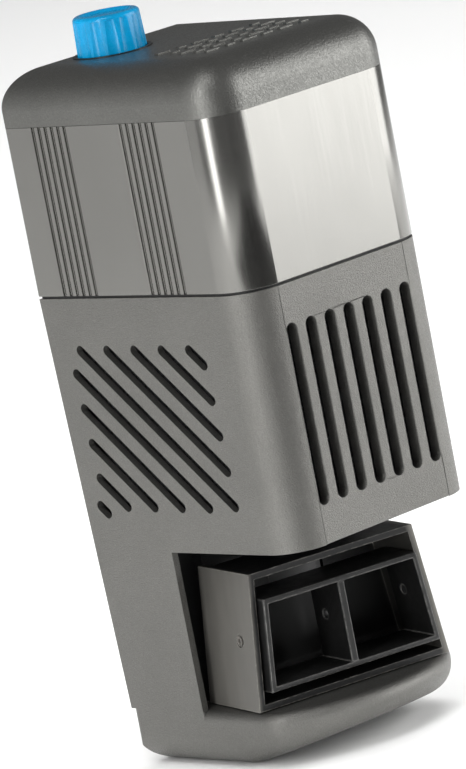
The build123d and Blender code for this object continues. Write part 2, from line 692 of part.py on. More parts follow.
with BuildPart() as lid:
    extrude(body_plan(LID_Z), amount=TOP_Z - LID_Z)
    fillet(lid.faces().sort_by(Axis.Z)[-1].edges(), LID_ROUND)
    # hollow inside, parallel to the outside
    add(lid_core.part, mode=Mode.SUBTRACT)
    # lip that drops inside the head shell
    extrude(body_plan(LID_Z - LID_LIP_H, lip_inset), amount=LID_LIP_H + HEAD_WALL)
    extrude(body_plan(LID_Z, HEAD_WALL / 2), amount=HEAD_WALL)
    extrude(
        body_plan(LID_Z - LID_LIP_H - EPS, lip_inset + LID_LIP_T),
        amount=LID_LIP_H + HEAD_WALL + PAST,
        mode=Mode.SUBTRACT,
    )
    # boss under the knob, well round it and bore for the valve's neck
    with BuildSketch(Plane.XY.offset(LID_FLOOR_Z - HEAD_WALL)):
        with Locations((KNOB_X, KNOB_Y)):
            Circle(well_r + HEAD_WALL)
    extrude(amount=TOP_Z - HEAD_WALL / 2 - LID_FLOOR_Z + HEAD_WALL)
    with BuildSketch(Plane.XY.offset(LID_FLOOR_Z)):
        with Locations((KNOB_X, KNOB_Y)):
            Circle(well_r)
    extrude(amount=WELL_DEPTH + BEYOND, mode=Mode.SUBTRACT)
    with BuildSketch(Plane.XY.offset(LID_FLOOR_Z - HEAD_WALL - EPS)):
        with Locations((KNOB_X, KNOB_Y)):
            Circle(VALVE_NECK_R + FIXED_FIT)
    extrude(amount=HEAD_WALL + PAST, mode=Mode.SUBTRACT)
    # rows of short raised dashes, a generic moulded pattern
    for row in range(DASH_ROWS):
        row_y = DASH_FIRST_Y + row * DASH_ROW_PITCH
        for step in range(DASHES_PER_ROW):
            length = DASH_LENGTHS[(row * DASH_SHIFT + step) % len(DASH_LENGTHS)]
            dash_x = (step - (DASHES_PER_ROW - 1) / 2) * DASH_PITCH
            with BuildSketch(Plane.XY.offset(TOP_Z - EPS)):
                with Locations((dash_x, row_y)):
                    Rectangle(length, DASH_W)
            extrude(amount=DASH_H)
save(lid.part, "lid")

# ---------------------------------------------------------------- knob, spindle and air valve
knob_low_z = LID_FLOOR_Z + COLLAR_T + LOOSE_FIT
with BuildPart() as knob_collar:
    with BuildSketch(Plane.XY.offset(LID_FLOOR_Z)):
        with Locations((KNOB_X, KNOB_Y)):
            Circle(well_r - FIXED_FIT)
            Circle(VALVE_NECK_R + FIXED_FIT, mode=Mode.SUBTRACT)
    extrude(amount=COLLAR_T)
    with BuildSketch(Plane.XY.offset(LID_FLOOR_Z)):
        with Locations((KNOB_X, KNOB_Y)):
            Circle(well_r - FIXED_FIT)
            Circle(KNOB_R + LOOSE_FIT, mode=Mode.SUBTRACT)
    extrude(amount=WELL_DEPTH + COLLAR_PROUD)
save(knob_collar.part, "knob_collar")

knob_axis = Plane(origin=(KNOB_X, KNOB_Y, 0))
with BuildPart() as knob:
    with BuildSketch(knob_axis.offset(knob_low_z)):
        Circle(KNOB_R)
    extrude(amount=KNOB_H, taper=degrees(atan2(KNOB_TAPER, KNOB_H)))
    fillet(knob.faces().sort_by(Axis.Z)[-1].edges(), KNOB_ROUND)
    # broad flutes round the side
    with BuildSketch(knob_axis.offset(knob_low_z - EPS)):
        with PolarLocations(KNOB_R - FLUTE_DEPTH + FLUTE_R, FLUTES):
            Circle(FLUTE_R)
    extrude(amount=KNOB_H - KNOB_ROUND, mode=Mode.SUBTRACT)
    # dished top
    with BuildSketch(knob_axis.offset(knob_low_z + KNOB_H - KNOB_DISH)):
        Circle(KNOB_R - KNOB_TAPER - 2 * KNOB_ROUND)
    extrude(amount=BEYOND, taper=-45, mode=Mode.SUBTRACT)
    # hollow underside with a hub for the spindle
    with BuildSketch(knob_axis.offset(knob_low_z - EPS)):
        Circle(KNOB_R - FLUTE_DEPTH - WELL_MARGIN)
        Circle(VALVE_NECK_R, mode=Mode.SUBTRACT)
    extrude(amount=KNOB_H / 2, mode=Mode.SUBTRACT)
    with BuildSketch(knob_axis.offset(knob_low_z - EPS)):
        Circle(SPINDLE_R)
    extrude(amount=KNOB_H - KNOB_DISH - WELL_MARGIN, mode=Mode.SUBTRACT)
save(knob.part, "knob")

spindle_high_z = knob_low_z + KNOB_H - KNOB_DISH - WELL_MARGIN - EPS
valve_high_z = LID_FLOOR_Z - HEAD_WALL
oring_z = LID_FLOOR_Z - VALVE_FLANGE_T
with BuildPart() as valve_spindle:
    with BuildSketch(knob_axis.offset(SPINDLE_LOW_Z)):
        Circle(SPINDLE_R)
    extrude(amount=spindle_high_z - SPINDLE_LOW_Z)
    # groove for the o-ring
    with BuildSketch(knob_axis.offset(oring_z - ORING_R)):
        Circle(SPINDLE_R + PAST)
        Circle(SPINDLE_R - 2 * ORING_R, mode=Mode.SUBTRACT)
    extrude(amount=2 * ORING_R, mode=Mode.SUBTRACT)
save(valve_spindle.part, "valve_spindle")

with BuildPart() as spindle_oring:
    with BuildSketch(Plane(origin=(KNOB_X, KNOB_Y, oring_z), x_dir=(1, 0, 0), z_dir=(0, -1, 0))):
        with Locations((SPINDLE_R - ORING_R, 0)):
            Circle(ORING_R - EPS)
    revolve(axis=Axis((KNOB_X, KNOB_Y, 0), (0, 0, 1)))
save(spindle_oring.part, "spindle_oring")

chamber_r = PLUG_R + RUNNING_FIT
chamber_low_z = VALVE_LOW_Z + PLUG_SEAT
air_inlet_z = chamber_low_z + AIR_INLET_RISE
with BuildPart() as valve_body:
    with BuildSketch(knob_axis.offset(VALVE_LOW_Z)):
        Circle(VALVE_R)
    extrude(amount=valve_high_z - VALVE_LOW_Z)
    with BuildSketch(knob_axis.offset(valve_high_z - VALVE_FLANGE_T)):
        Circle(VALVE_FLANGE_R)
    extrude(amount=VALVE_FLANGE_T)
    with BuildSketch(knob_axis.offset(valve_high_z)):
        Circle(VALVE_NECK_R)
    extrude(amount=HEAD_WALL)
    # spindle bore, plug chamber, orifice and side inlet
    with BuildSketch(knob_axis.offset(SPINDLE_LOW_Z - LOOSE_FIT)):
        Circle(SPINDLE_R + RUNNING_FIT)
    extrude(amount=TOP_Z - SPINDLE_LOW_Z, mode=Mode.SUBTRACT)
    with BuildSketch(knob_axis.offset(chamber_low_z)):
        Circle(chamber_r)
    extrude(amount=SPINDLE_LOW_Z - chamber_low_z, mode=Mode.SUBTRACT)
    with BuildSketch(knob_axis.offset(VALVE_LOW_Z - EPS)):
        Circle(ORIFICE_R)
    extrude(amount=chamber_low_z - VALVE_LOW_Z + 2 * EPS, mode=Mode.SUBTRACT)
    with BuildSketch(Plane.YZ.offset(KNOB_X)):
        with Locations((KNOB_Y, air_inlet_z)):
            Circle(ORIFICE_R)
    extrude(amount=VALVE_R + PAST, mode=Mode.SUBTRACT)
save(valve_body.part, "valve_body")

# rotary plug under the spindle: its side hole faces the inlet when the valve is open
with BuildPart() as valve_plug:
    with BuildSketch(knob_axis.offset(chamber_low_z + LOOSE_FIT)):
        Circle(PLUG_R)
    extrude(amount=SPINDLE_LOW_Z - chamber_low_z - LOOSE_FIT)
    with BuildSketch(knob_axis.offset(chamber_low_z)):
        Circle(ORIFICE_R)
    extrude(amount=air_inlet_z - chamber_low_z, mode=Mode.SUBTRACT)
    with BuildSketch(Plane.YZ.offset(KNOB_X)):
        with Locations((KNOB_Y, air_inlet_z)):
            Circle(ORIFICE_R)
    extrude(amount=PLUG_R + PAST, mode=Mode.SUBTRACT)
save(valve_plug.part, "valve_plug")

# ---------------------------------------------------------------- air tubes
drop_low_z = SOCKET_Z + TUBE_GAP
with BuildPart() as air_drop_tube:
    with BuildSketch(knob_axis.offset(drop_low_z)):
        Circle(TUBE_R)
        Circle(TUBE_BORE_R, mode=Mode.SUBTRACT)
    extrude(amount=VALVE_LOW_Z - drop_low_z)
    # collar that clips onto the valve body
    with BuildSketch(knob_axis.offset(VALVE_LOW_Z - WALL)):
        Circle(VALVE_R)
        Circle(TUBE_BORE_R, mode=Mode.SUBTRACT)
    extrude(amount=WALL)
save(air_drop_tube.part, "air_drop_tube")

with BuildPart() as air_riser_tube:
    with BuildSketch(knob_axis.offset(COVER_HIGH_Z)):
        Circle(TUBE_R)
    extrude(amount=SOCKET_Z - COVER_HIGH_Z)
    with BuildSketch(knob_axis.offset(SOCKET_Z - WALL)):
        Circle(SOCKET_R)
    extrude(amount=SOCKET_H + WALL)
    with BuildSketch(knob_axis.offset(SOCKET_Z)):
        Circle(TUBE_R + LOOSE_FIT)
    extrude(amount=SOCKET_H + EPS, mode=Mode.SUBTRACT)
    with BuildSketch(knob_axis.offset(COVER_HIGH_Z - EPS)):
        Circle(TUBE_BORE_R)
    extrude(amount=SOCKET_Z - COVER_HIGH_Z + 2 * EPS, mode=Mode.SUBTRACT)
save(air_riser_tube.part, "air_riser_tube")

# ---------------------------------------------------------------- foam and its tray
tray_inset = WALL + GRILLE_SET + GRILLE_LIP_T + LOOSE_FIT
with BuildPart() as foam_tray:
    extrude(body_plan(TRAY_LOW_Z, tray_inset), amount=TRAY_T)
    with BuildSketch(Plane.XY.offset(TRAY_LOW_Z - EPS)):
        with Locations((0, MOTOR_Y)):
            with GridLocations(TRAY_SLOT_PITCH, 1, TRAY_SLOTS, 1):
                SlotOverall(2 * TRAY_SLOT_PITCH, TRAY_SLOT_W, rotation=90)
        with Locations((KNOB_X, KNOB_Y)):
            Circle(TUBE_R + LOOSE_FIT)
    extrude(amount=TRAY_T + 2 * EPS, mode=Mode.SUBTRACT)
save(foam_tray.part, "foam_tray")

foam_low_z = TRAY_LOW_Z + TRAY_T
with BuildPart() as foam_block:
    loft(
        sections=[
            body_plan(foam_low_z, tray_inset + FOAM_GAP),
            body_plan(FOAM_HIGH_Z, tray_inset + FOAM_GAP),
        ],
        ruled=True,
    )
    with BuildSketch(knob_axis.offset(foam_low_z - EPS)):
        Circle(SOCKET_R + FIXED_FIT)
    extrude(amount=FOAM_HIGH_Z - foam_low_z + 2 * EPS, mode=Mode.SUBTRACT)
save(foam_block.part, "foam_block")

# ---------------------------------------------------------------- motor
motor_axis = Plane(origin=(0, MOTOR_Y, 0))
cap_high_z = MOTOR_LOW_Z + CAP_T
with BuildPart() as motor_can:
    with BuildSketch(motor_axis.offset(cap_high_z)):
        RectangleRounded(MOTOR_W, MOTOR_D, MOTOR_WALL)
    extrude(amount=MOTOR_HIGH_Z - cap_high_z)
    with BuildSketch(motor_axis.offset(cap_high_z - EPS)):
        RectangleRounded(MOTOR_W - 2 * MOTOR_WALL, MOTOR_D - 2 * MOTOR_WALL, MOTOR_WALL / 2)
    extrude(amount=MOTOR_HIGH_Z - MOTOR_WALL - cap_high_z, mode=Mode.SUBTRACT)
    # rotor well hanging from the top
    with BuildSketch(motor_axis.offset(WELL_LOW_Z - WELL_WALL)):
        Circle(WELL_R + WELL_WALL)
    extrude(amount=MOTOR_HIGH_Z - WELL_LOW_Z)
    with BuildSketch(motor_axis.offset(WELL_LOW_Z)):
        Circle(WELL_R)
    extrude(amount=MOTOR_HIGH_Z - WELL_LOW_Z + EPS, mode=Mode.SUBTRACT)
save(motor_can.part, "motor_can")

with BuildPart() as motor_cap:
    with BuildSketch(motor_axis.offset(MOTOR_LOW_Z)):
        RectangleRounded(MOTOR_W, MOTOR_D, MOTOR_WALL)
    extrude(amount=CAP_T)
save(motor_cap.part, "motor_cap")

with BuildPart() as stator_core:
    with BuildSketch(motor_axis.offset(YOKE_LOW_Z)):
        Rectangle(2 * LEG_OUT_X, CORE_T)
    extrude(amount=YOKE_HIGH_Z - YOKE_LOW_Z)
    with BuildSketch(motor_axis.offset(YOKE_HIGH_Z)):
        with Locations(*[((LEG_IN_X + LEG_OUT_X) / 2 * side, 0) for side in (-1, 1)]):
            Rectangle(LEG_OUT_X - LEG_IN_X, CORE_T)
    extrude(amount=LEG_HIGH_Z - YOKE_HIGH_Z)
save(stator_core.part, "stator_core")

with BuildPart() as stator_coils:
    with BuildSketch(motor_axis.offset(YOKE_HIGH_Z + FIXED_FIT)):
        with Locations(*[((LEG_IN_X + LEG_OUT_X) / 2 * side, 0) for side in (-1, 1)]):
            RectangleRounded(LEG_OUT_X - LEG_IN_X + 2 * COIL_T, CORE_T + 2 * COIL_T, COIL_T)
            Rectangle(
                LEG_OUT_X - LEG_IN_X + 2 * FIXED_FIT, CORE_T + 2 * FIXED_FIT, mode=Mode.SUBTRACT
            )
    extrude(amount=COIL_H)
save(stator_coils.part, "stator_coils")

# ---------------------------------------------------------------- rotor
with BuildPart() as rotor_magnet:
    with BuildSketch(motor_axis.offset(ROTOR_LOW_Z + LOOSE_FIT)):
        Circle(MAGNET_R)
        Circle(SHAFT_R + RUNNING_FIT, mode=Mode.SUBTRACT)
    extrude(amount=MAGNET_H)
save(rotor_magnet.part, "rotor_magnet")

impeller_low_z = MAGNET_HIGH_Z + LOOSE_FIT
disc_z = VOLUTE_LOW_Z + VOLUTE_WALL + 2 * LOOSE_FIT
blade_high_z = disc_z + BLADE_T + BLADE_H
with BuildPart() as impeller:
    with BuildSketch(motor_axis.offset(impeller_low_z)):
        Circle(HUB_R)
    extrude(amount=blade_high_z - impeller_low_z)
    with BuildSketch(motor_axis.offset(disc_z)):
        Circle(IMPELLER_R)
    extrude(amount=BLADE_T)
    blade_out_r = IMPELLER_R - BLADE_T / 2
    blade_in_r = HUB_R - BLADE_T / 2
    with BuildSketch(motor_axis.offset(disc_z + BLADE_T)):
        with PolarLocations((blade_in_r + blade_out_r) / 2, BLADE_COUNT):
            Rectangle(blade_out_r - blade_in_r, BLADE_T)
    extrude(amount=BLADE_H - LOOSE_FIT)
    with BuildSketch(motor_axis.offset(impeller_low_z - EPS)):
        Circle(SHAFT_R + RUNNING_FIT)
    extrude(amount=blade_high_z, mode=Mode.SUBTRACT)
save(impeller.part, "impeller")

bush_spots_z = (WELL_LOW_Z, COVER_HIGH_Z - BUSH_H)
with BuildPart() as shaft_bushes:
    for z in bush_spots_z:
        with BuildSketch(motor_axis.offset(z)):
            Circle(BUSH_R)
            Circle(SHAFT_R, mode=Mode.SUBTRACT)
        extrude(amount=BUSH_H)
save(shaft_bushes.part, "shaft_bushes")

with BuildPart() as rotor_shaft:
    with BuildSketch(motor_axis.offset(WELL_LOW_Z)):
        Circle(SHAFT_R)
    extrude(amount=COVER_HIGH_Z - WELL_LOW_Z)
save(rotor_shaft.part, "rotor_shaft")

# ---------------------------------------------------------------- impeller chamber
with BuildPart() as volute:
    with BuildSketch(motor_axis.offset(VOLUTE_LOW_Z)):
        Circle(VOLUTE_R)
    extrude(amount=VOLUTE_H)
    with BuildSketch(motor_axis.offset(VOLUTE_LOW_Z)):
        with Locations((0, (PARTITION_Y - MOTOR_Y) / 2)):
            Rectangle(PORT_W + 2 * VOLUTE_WALL, MOTOR_Y - PARTITION_Y)
    extrude(amount=PORT_H + 2 * VOLUTE_WALL)
    with BuildSketch(motor_axis.offset(VOLUTE_LOW_Z + VOLUTE_WALL)):
        Circle(VOLUTE_R - VOLUTE_WALL)
    extrude(amount=VOLUTE_H, mode=Mode.SUBTRACT)
    with BuildSketch(motor_axis.offset(VOLUTE_LOW_Z + VOLUTE_WALL)):
        with Locations((0, (PARTITION_Y - MOTOR_Y) / 2 - PAST)):
            Rectangle(PORT_W, MOTOR_Y - PARTITION_Y + 2 * PAST)
    extrude(amount=PORT_H, mode=Mode.SUBTRACT)
    with BuildSketch(motor_axis.offset(VOLUTE_LOW_Z - EPS)):
        Circle(WELL_R)
    extrude(amount=VOLUTE_WALL + 2 * EPS, mode=Mode.SUBTRACT)
save(volute.part, "volute")

with BuildPart() as volute_cover:
    with BuildSketch(motor_axis.offset(VOLUTE_HIGH_Z)):
        Circle(VOLUTE_R)
        Circle(EYE_R, mode=Mode.SUBTRACT)
        with PolarLocations((BUSH_R + EYE_R) / 2, SPOKES):
            Rectangle(EYE_R - BUSH_R + 2 * PAST, SPOKE_W)
        Circle(BUSH_R + VOLUTE_WALL)
        Circle(BUSH_R, mode=Mode.SUBTRACT)
    extrude(amount=COVER_T)
    # air enters through a small hole beside the eye
    with BuildSketch(knob_axis.offset(VOLUTE_HIGH_Z - EPS)):
        Circle(ORIFICE_R)
    extrude(amount=COVER_T + 2 * EPS, mode=Mode.SUBTRACT)
save(volute_cover.part, "volute_cover")

# ---------------------------------------------------------------- back fittings
cup_root = CUP_H / 3
head_low = -WALL - LOOSE_FIT
with BuildPart() as one_cup:
    # one turned profile along +Y: head inside the wall, stud, then the hollow cup
    with BuildSketch(Plane(origin=(0, 0, 0), x_dir=(0, 1, 0), z_dir=(1, 0, 0))):
        with BuildLine():
            Polyline(
                (cup_root + CUP_SKIN, 0),
                (head_low - CUP_HEAD_T, 0),
                (head_low - CUP_HEAD_T, CUP_HEAD_R),
                (head_low, CUP_HEAD_R),
                (head_low, CUP_STUD_R),
                (2 * LOOSE_FIT, CUP_STUD_R),
                (2 * LOOSE_FIT, CUP_STUD_R + CUP_COLLAR),
                (cup_root, CUP_STUD_R + CUP_COLLAR),
            )
            ThreePointArc(
                (cup_root, CUP_STUD_R + CUP_COLLAR),
                (cup_root + CUP_SKIN, CUP_R * CUP_WAIST),
                (CUP_H, CUP_R),
            )
            Line((CUP_H, CUP_R), (CUP_H, CUP_R - CUP_LIP))
            ThreePointArc(
                (CUP_H, CUP_R - CUP_LIP),
                (cup_root + 2 * CUP_SKIN, CUP_R * CUP_WAIST),
                (cup_root + CUP_SKIN, CUP_STUD_R),
            )
            Line((cup_root + CUP_SKIN, CUP_STUD_R), (cup_root + CUP_SKIN, 0))
        make_face()
    revolve(axis=Axis.Y)

with BuildPart() as suction_cups:
    with Locations([(x, back_y(z), z) for z in CUP_ZS for x in CUP_XS]):
        add(one_cup.part)
save(suction_cups.part, "suction_cups")

with BuildPart() as cable_gland:
    gland_axis = Plane(
        origin=(GLAND_X, back_y(GLAND_Z), GLAND_Z), x_dir=(1, 0, 0), z_dir=(0, 1, 0)
    )
    with BuildSketch(gland_axis.offset(-WALL)):
        Circle(GLAND_R)
    extrude(amount=WALL + GLAND_L)
    with BuildSketch(gland_axis.offset(GLAND_STAND)):
        Circle(GLAND_FLANGE_R)
    extrude(amount=GLAND_FLANGE_T)
    with BuildSketch(gland_axis.offset(-WALL - EPS)):
        Circle(GLAND_BORE_R)
    extrude(amount=WALL + GLAND_L + 2 * EPS, mode=Mode.SUBTRACT)
save(cable_gland.part, "cable_gland")
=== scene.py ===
"""Looks for the submersible aquarium pump: materials, foam, studio light and camera.

Metres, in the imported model's own frame: +Z up, front grille and outlet towards -Y.
"""
import json
from math import cos, radians, sin

import bmesh
import bpy
from mathutils import Matrix, Vector, noise


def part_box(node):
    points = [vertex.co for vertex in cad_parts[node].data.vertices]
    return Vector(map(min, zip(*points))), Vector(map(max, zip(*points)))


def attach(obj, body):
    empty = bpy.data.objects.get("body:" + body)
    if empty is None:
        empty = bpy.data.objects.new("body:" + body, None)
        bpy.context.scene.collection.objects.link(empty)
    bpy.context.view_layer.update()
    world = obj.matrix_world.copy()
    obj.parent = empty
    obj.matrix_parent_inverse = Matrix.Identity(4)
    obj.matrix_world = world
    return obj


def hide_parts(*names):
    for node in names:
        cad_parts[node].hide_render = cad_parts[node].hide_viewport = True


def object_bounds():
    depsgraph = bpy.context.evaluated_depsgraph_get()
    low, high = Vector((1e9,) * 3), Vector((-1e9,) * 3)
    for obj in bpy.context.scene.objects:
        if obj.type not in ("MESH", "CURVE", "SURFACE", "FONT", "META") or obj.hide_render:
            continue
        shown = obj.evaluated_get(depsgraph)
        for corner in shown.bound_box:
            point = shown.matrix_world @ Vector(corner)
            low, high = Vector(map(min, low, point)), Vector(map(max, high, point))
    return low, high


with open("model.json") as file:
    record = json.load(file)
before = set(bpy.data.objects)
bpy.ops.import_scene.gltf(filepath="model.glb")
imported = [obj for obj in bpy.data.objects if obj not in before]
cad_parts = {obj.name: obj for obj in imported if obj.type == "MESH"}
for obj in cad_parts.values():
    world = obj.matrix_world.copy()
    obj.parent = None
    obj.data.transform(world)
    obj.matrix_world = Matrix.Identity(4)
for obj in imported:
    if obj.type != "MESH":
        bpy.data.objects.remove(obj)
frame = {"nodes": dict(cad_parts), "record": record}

cad_low, cad_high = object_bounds()
nodes = frame["nodes"]
scene = bpy.context.scene
scene.view_settings.view_transform = "Standard"

OUTLET_REST = 14.0           # degrees that the outlet looks towards -X at rest
SIDE_LEAN = 0.1144           # how far the outlet's sides come in per metre going up
SIDE_X = 0.0371              # half width of the outlet at floor height, along that lean
CARD_SIZE = (0.7, 1.3)
CARD_AZIMUTH = -5.0
CARD_DISTANCE = 0.85
WORLD_STRENGTH = 0.18
# name, azimuth from -Y towards +X, height, distance, width and height, power
LIGHTS = (
    ("key_right", 50.0, 0.34, 1.1, (0.8, 0.8), 8.5),
    ("strip_left", -74.0, 0.30, 0.9, (0.20, 0.9), 4.5),
    ("fill_left", -120.0, 0.45, 1.3, (0.9, 0.9), 2.0),
    ("rim_high", -60.0, 1.15, 0.75, (0.5, 0.3), 3.0),
)
FLOOR_LIGHT = (135.0, 2.4, 0.9, (3.2, 3.2), 75.0)


# ---------------------------------------------------------------- node helpers
class Shader:
    """A material with its Principled shader, and short calls to add nodes to it."""

    def __init__(self, name):
        self.material = bpy.data.materials.new(name)
        self.material.use_nodes = True
        self.tree = self.material.node_tree
        self.bsdf = self.tree.nodes["Principled BSDF"]
        self.coords = self.add("ShaderNodeTexCoord").outputs["Object"]

    def add(self, kind, **values):
        """Adds a node and sets its properties."""
        node = self.tree.nodes.new(kind)
        for key, value in values.items():
            setattr(node, key, value)
        return node

    def link(self, source, target):
        """Links one socket to another."""
        self.tree.links.new(source, target)

    def set(self, **values):
        """Sets constant values on the shader's own sockets."""
        for key, value in values.items():
            self.bsdf.inputs[key.replace("_", " ")].default_value = value

    def noise(self, scale, detail=2.0, rough=0.5, stretch=None):
        """Noise factor in the row frame; scale is in features per metre."""
        node = self.add("ShaderNodeTexNoise")
        node.inputs["Scale"].default_value = scale
        node.inputs["Detail"].default_value = detail
        node.inputs["Roughness"].default_value = rough
        self.link(self.stretched(stretch), node.inputs["Vector"])
        return node.outputs["Fac"]

    def cells(self, scale, output="Color"):
        """Voronoi cells in the row frame."""
        node = self.add("ShaderNodeTexVoronoi")
        node.inputs["Scale"].default_value = scale
        self.link(self.coords, node.inputs["Vector"])
        return node.outputs[output]

    def stretched(self, stretch):
        """Row-frame coordinates, scaled along the axes."""
        if stretch is None:
            return self.coords
        node = self.add("ShaderNodeMapping")
        node.inputs["Scale"].default_value = stretch
        self.link(self.coords, node.inputs["Vector"])
        return node.outputs["Vector"]

    def ramp(self, factor, *stops):
        """Colour ramp; each stop is (position, grey or colour)."""
        node = self.add("ShaderNodeValToRGB")
        ramp = node.color_ramp
        while len(ramp.elements) < len(stops):
            ramp.elements.new(0.5)
        for element, (position, value) in zip(ramp.elements, stops):
            element.position = position
            colour = (value, value, value) if isinstance(value, float) else value
            element.color = (*colour, 1.0)
        self.link(factor, node.inputs["Fac"])
        return node.outputs["Color"]

    def mix(self, factor, first, second):
        """Mixes two colours, each a socket or a constant, by a factor."""
        node = self.add("ShaderNodeMix", data_type="RGBA")
        sockets = (node.inputs[0], node.inputs[6], node.inputs[7])
        for socket, value in zip(sockets, (factor, first, second)):
            if isinstance(value, bpy.types.NodeSocket):
                self.link(value, socket)
            elif isinstance(value, tuple):
                socket.default_value = (*value, 1.0)
            else:
                socket.default_value = value
        return node.outputs[2]

    def bump(self, height, strength, distance):
        """Adds a bump layer on top of the ones before it."""
        node = self.add("ShaderNodeBump")
        node.inputs["Strength"].default_value = strength
        node.inputs["Distance"].default_value = distance
        self.link(height, node.inputs["Height"])
        old = self.bsdf.inputs["Normal"]
        if old.is_linked:
            self.link(old.links[0].from_socket, node.inputs["Normal"])
        self.link(node.outputs["Normal"], old)
        return node

    def edges(self, radius):
        """Mask that is 1 along sharp edges, from the rounded normal's turn."""
        bevel = self.add("ShaderNodeBevel", samples=4)
        bevel.inputs["Radius"].default_value = radius
        flat = self.add("ShaderNodeNewGeometry").outputs["Normal"]
        dot = self.add("ShaderNodeVectorMath", operation="DOT_PRODUCT")
        self.link(bevel.outputs["Normal"], dot.inputs[0])
        self.link(flat, dot.inputs[1])
        return self.ramp(dot.outputs["Value"], (0.80, 1.0), (0.99, 0.0))


def scaled(colour, factor):
    """A colour made lighter or darker."""
    return tuple(min(1.0, c * factor) for c in colour)


# ---------------------------------------------------------------- materials
def metallic_grain(name, colour, rough, grain, painted_glint_share, bump, metallic):
    """Metal-flake plastic: fine moulded grain that glints where light grazes it, and a few flake cells
    painted bright as painted glints.
    """
    s = Shader(name)
    flakes = s.cells(grain)
    parts = s.add("ShaderNodeSeparateColor")
    s.link(flakes, parts.inputs[0])
    cloud = s.ramp(s.noise(24.0, 4.0, 0.6), (0.3, 0.0), (0.7, 1.0))
    base = s.mix(cloud, scaled(colour, 0.94), scaled(colour, 1.06))
    base = s.mix(s.ramp(parts.outputs[0], (0.1, 0.16), (0.9, 0.0)), base, scaled(colour, 0.4))
    # painted glints: a share of the flake cells is painted much brighter, standing in for flakes that catch
    # the light
    base = s.mix(s.ramp(parts.outputs[1], (1.0 - painted_glint_share, 0.0), (1.0, 0.14)), base, scaled(colour, 1.9))
    s.link(base, s.bsdf.inputs["Base Color"])
    s.link(s.ramp(parts.outputs[2], (0.0, rough - 0.08), (1.0, rough + 0.10)), s.bsdf.inputs["Roughness"])
    s.set(Metallic=metallic)
    s.bump(s.noise(grain * 0.75, 3.0, 0.6), bump, 0.00022)
    s.bump(flakes, bump * 0.5, 0.00014)
    return s.material


def satin_plastic(name, colour, rough=0.45, worn=0.0, grain=2600.0, bump=0.12):
    """Satin moulded plastic, optionally paler and rubbed along its edges."""
    s = Shader(name)
    broad = s.noise(60.0, 4.0, 0.6)
    base = s.mix(s.ramp(broad, (0.35, 0.0), (0.7, 1.0)), scaled(colour, 0.85), scaled(colour, 1.15))
    if worn:
        rub = s.noise(420.0, 5.0, 0.7)
        edge = s.add("ShaderNodeMath", operation="MULTIPLY")
        s.link(s.edges(0.0007), edge.inputs[0])
        s.link(s.ramp(rub, (0.35, 0.25), (0.6, 1.0)), edge.inputs[1])
        base = s.mix(edge.outputs[0], base, scaled((1.0, 0.98, 0.94), worn))
    s.link(base, s.bsdf.inputs["Base Color"])
    s.link(s.ramp(s.noise(350.0, 3.0), (0.3, rough - 0.06), (0.7, rough + 0.08)), s.bsdf.inputs["Roughness"])
    s.bump(s.noise(grain, 2.0, 0.6), bump, 0.00008)
    return s.material


def outlet_plastic(name, skin, inside):
    """Black moulding whose outer side faces are coloured grey, with rubbed edges."""
    s = Shader(name)
    turned = s.add("ShaderNodeMapping")
    turned.inputs["Rotation"].default_value = (0.0, 0.0, radians(OUTLET_REST))
    s.link(s.coords, turned.inputs["Vector"])
    parts = s.add("ShaderNodeSeparateXYZ")
    s.link(turned.outputs["Vector"], parts.inputs[0])
    across = s.add("ShaderNodeMath", operation="ABSOLUTE")
    s.link(parts.outputs["X"], across.inputs[0])
    # the sides lean in going up, so height is added before the comparison
    lean = s.add("ShaderNodeMath", operation="MULTIPLY_ADD")
    s.link(parts.outputs["Z"], lean.inputs[0])
    lean.inputs[1].default_value = SIDE_LEAN
    s.link(across.outputs[0], lean.inputs[2])
    outside = s.ramp(lean.outputs[0], (SIDE_X - 0.0011, 0.0), (SIDE_X - 0.0006, 1.0))
    streaks = s.noise(260.0, 4.0, 0.6, stretch=(1.0, 1.0, 0.15))
    grey = s.mix(s.ramp(streaks, (0.35, 0.0), (0.7, 1.0)), scaled(skin, 0.86), scaled(skin, 1.08))
    rub = s.ramp(s.noise(420.0, 5.0, 0.7), (0.4, 0.1), (0.62, 0.8))
    edge = s.add("ShaderNodeMath", operation="MULTIPLY")
    s.link(s.edges(0.0006), edge.inputs[0])
    s.link(rub, edge.inputs[1])
    black = s.mix(edge.outputs[0], inside, scaled(skin, 1.1))
    s.link(s.mix(outside, black, grey), s.bsdf.inputs["Base Color"])
    s.link(s.ramp(streaks, (0.3, 0.40), (0.7, 0.52)), s.bsdf.inputs["Roughness"])
    s.bump(s.noise(2600.0, 2.0, 0.6), 0.12, 0.00008)
    return s.material


def gloss_shell(name, colour):
    """Smooth glossy metallic lacquer with faint upright draw marks."""
    s = Shader(name)
    draw = s.noise(900.0, 3.0, 0.6, stretch=(1.0, 1.0, 0.02))
    cloud = s.noise(16.0, 3.0, 0.5)
    base = s.mix(s.ramp(cloud, (0.3, 0.0), (0.7, 1.0)), scaled(colour, 0.94), scaled(colour, 1.05))
    base = s.mix(s.ramp(draw, (0.48, 0.0), (0.85, 0.25)), base, scaled(colour, 1.3))
    s.link(base, s.bsdf.inputs["Base Color"])
    s.link(s.ramp(draw, (0.3, 0.20), (0.75, 0.27)), s.bsdf.inputs["Roughness"])
    s.set(Metallic=0.9, Coat_Weight=0.12, Coat_Roughness=0.12)
    s.bump(draw, 0.05, 0.00005)
    return s.material


def rubber(name, colour, rough=0.6):
    """Soft rubber with a slight bloom and a fine matt grain."""
    s = Shader(name)
    bloom = s.noise(180.0, 5.0, 0.65)
    bloomed = s.mix(s.ramp(bloom, (0.4, 0.0), (0.75, 1.0)), colour, scaled(colour, 1.9))
    s.link(bloomed, s.bsdf.inputs["Base Color"])
    s.link(s.ramp(bloom, (0.3, rough - 0.1), (0.7, rough + 0.12)), s.bsdf.inputs["Roughness"])
    s.bump(s.noise(3000.0, 2.0), 0.1, 0.00006)
    return s.material


